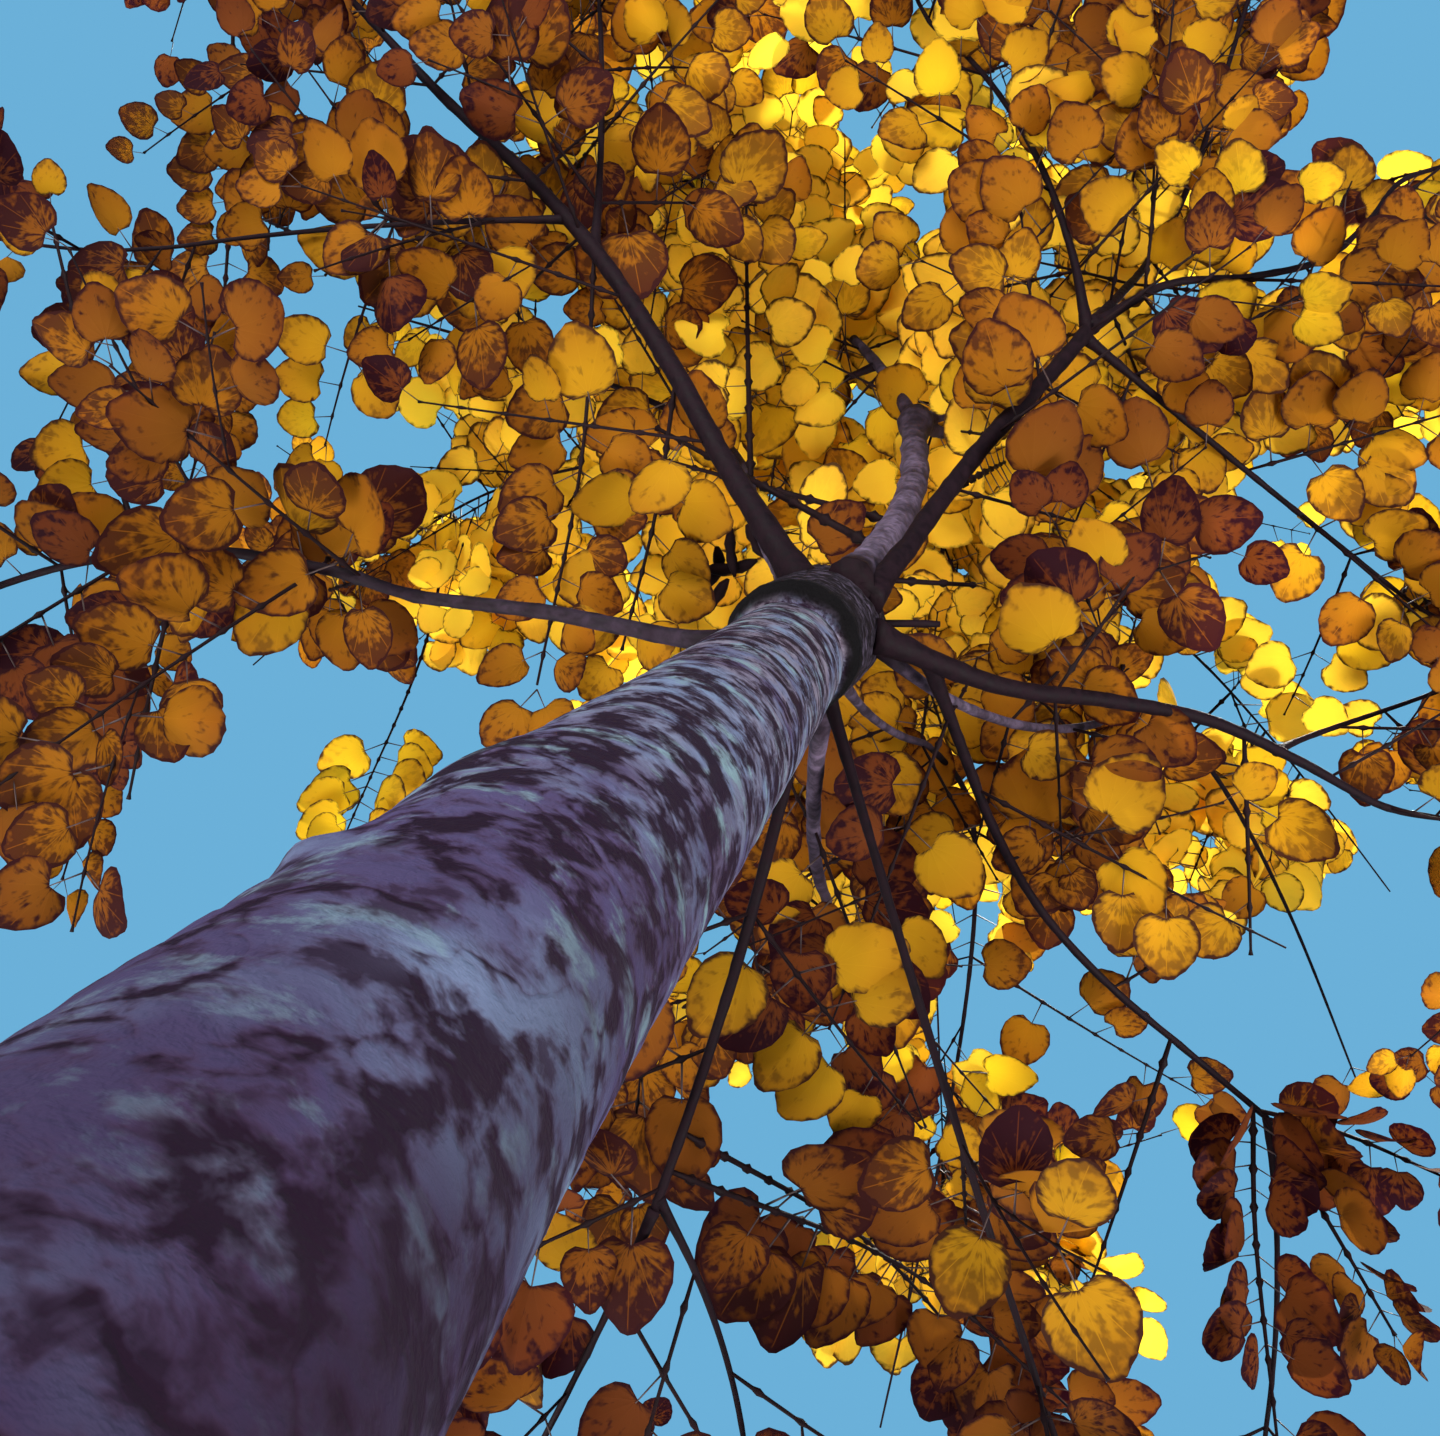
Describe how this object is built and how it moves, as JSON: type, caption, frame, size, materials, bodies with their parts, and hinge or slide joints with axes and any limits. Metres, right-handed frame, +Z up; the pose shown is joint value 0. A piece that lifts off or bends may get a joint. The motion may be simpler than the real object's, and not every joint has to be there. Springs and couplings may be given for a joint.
{
  "type": "katsura tree",
  "caption": "Young katsura tree in autumn leaf, with a bare blue-grey trunk up to a whorl of dark boughs and an egg-shaped crown of round golden-brown leaves.",
  "frame": {"origin": "centre of the flat cut under the trunk, at ground level", "axes": "+Z up the trunk; -Y towards the side that the crown is seen from, with +X to that viewer's right"},
  "size_m": [2.7429, 2.7057, 5.2353],
  "materials": {
    "trunk_bark": "pale blue-grey bark with dark brown blotches and fine fibrous cracks",
    "bough_bark": "dark purple-brown bark, smooth with swollen nodes",
    "leaf_russet": "matt leaf, golden brown with darker edges",
    "leaf_gold": "matt leaf, gold",
    "leaf_yellow": "thin leaf, bright yellow where the sun comes through",
    "leaf_brown": "matt leaf, brown with dark purple-brown edges"
  },
  "bodies": {
    "root": {"trunk": "trunk_bark", "bough_left": "bough_bark", "bough_left_upper_fork": "bough_bark", "bough_left_back_fork": "bough_bark", "bough_front": "bough_bark", "bough_front_middle_fork": "bough_bark", "bough_front_left_fork": "bough_bark", "bough_front_right_fork": "bough_bark", "bough_front_side_fork": "bough_bark", "bough_right": "bough_bark", "bough_right_upper_fork": "bough_bark", "bough_right_back": "bough_bark", "bough_right_back_tip": "bough_bark", "bough_back_right": "bough_bark", "bough_back": "bough_bark", "bough_back_near_fork": "bough_bark", "bough_back_far_fork": "bough_bark", "bough_back_left": "bough_bark", "bough_upright_left": "bough_bark", "bough_upright_back": "bough_bark", "bough_upright_right": "bough_bark", "bough_short_back": "bough_bark", "leader": "bough_bark", "upper_leader": "bough_bark", "upper_left": "bough_bark", "upper_front": "bough_bark", "upper_side_right": "bough_bark", "upper_side_back": "bough_bark", "upper_side_front": "bough_bark", "upper_side_left": "bough_bark", "upper_side_back_left": "bough_bark", "upper_side_back_right": "bough_bark", "foliage_left": "leaf_russet", "foliage_left_upper": "leaf_gold", "foliage_left_back": "leaf_yellow", "foliage_front_middle": "leaf_brown", "foliage_front_left": "leaf_russet", "foliage_front_right": "leaf_gold", "foliage_front_side": "leaf_yellow", "foliage_right": "leaf_brown", "foliage_right_upper": "leaf_russet", "foliage_right_back": "leaf_gold", "foliage_back_right": "leaf_yellow", "foliage_back_near": "leaf_brown", "foliage_back_far": "leaf_russet", "foliage_back_left": "leaf_gold", "foliage_inner_left": "leaf_yellow", "foliage_inner_back": "leaf_brown", "foliage_inner_right": "leaf_russet", "foliage_short_back": "leaf_gold", "foliage_top": "leaf_yellow", "foliage_upper_left": "leaf_brown", "foliage_upper_front": "leaf_russet", "foliage_upper_right": "leaf_gold", "foliage_upper_back": "leaf_yellow", "foliage_upper_front_right": "leaf_brown", "foliage_upper_side_left": "leaf_russet", "foliage_back_left_upper": "leaf_gold", "foliage_back_right_upper": "leaf_yellow"}
  },
  "joints": []
}
